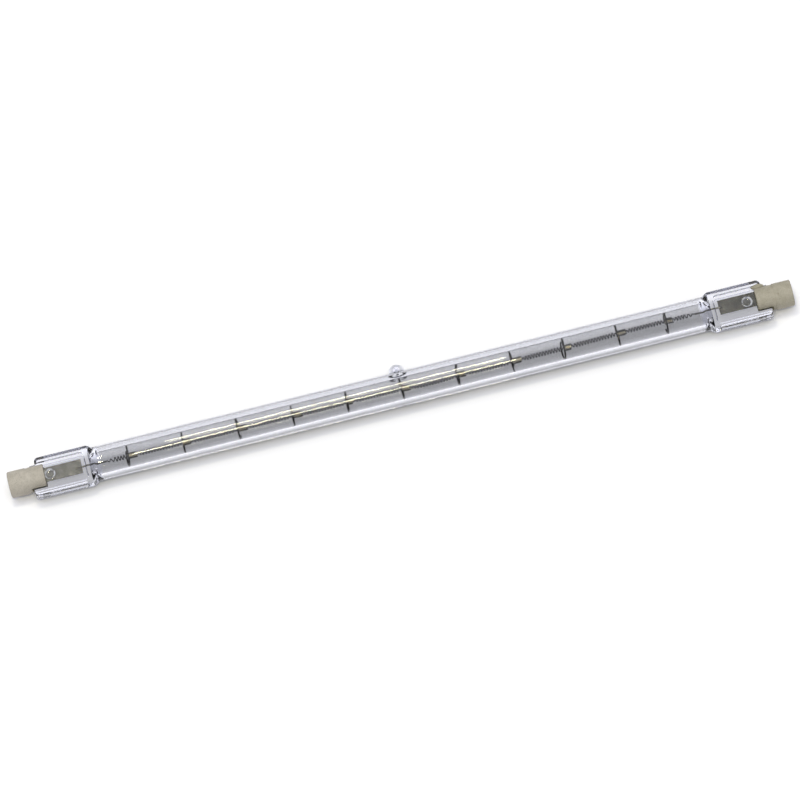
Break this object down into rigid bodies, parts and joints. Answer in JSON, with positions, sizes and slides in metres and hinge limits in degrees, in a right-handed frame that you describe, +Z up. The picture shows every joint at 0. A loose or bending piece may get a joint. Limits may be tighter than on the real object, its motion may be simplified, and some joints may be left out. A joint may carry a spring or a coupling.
{
  "type": "linear halogen bulb",
  "caption": "Double-ended linear halogen bulb: clear quartz tube, coiled filament on wire supports, flat pinched ends and ceramic caps with recessed contacts.",
  "frame": {"origin": "the light centre: on the lamp's axis, at half its length", "axes": "+X along the lamp to its right cap, +Z up as it lies, +Y to the side that the exhaust tip points to"},
  "size_m": [0.254, 0.0149, 0.011],
  "materials": {
    "quartz": "polished",
    "tungsten_coil": "satin",
    "support_wire": "satin",
    "lead_wire": "satin",
    "seal_foil": "satin",
    "contact_metal": "satin",
    "cap_ceramic": "matte",
    "cement": "matte"
  },
  "bodies": {
    "root": {"quartz_envelope": "quartz", "filament": "tungsten_coil", "support_01": "support_wire", "support_02": "support_wire", "support_03": "support_wire", "support_04": "support_wire", "support_05": "support_wire", "support_06": "support_wire", "support_07": "support_wire", "support_08": "support_wire", "support_09": "support_wire", "support_10": "support_wire", "support_11": "support_wire", "inner_lead_left": "lead_wire", "inner_lead_right": "lead_wire", "foil_left": "seal_foil", "foil_right": "seal_foil", "outer_lead_left": "lead_wire", "outer_lead_right": "lead_wire", "contact_left": "contact_metal", "contact_right": "contact_metal", "cap_left": "cap_ceramic", "cap_right": "cap_ceramic", "cement_left": "cement", "cement_right": "cement"}
  },
  "joints": []
}
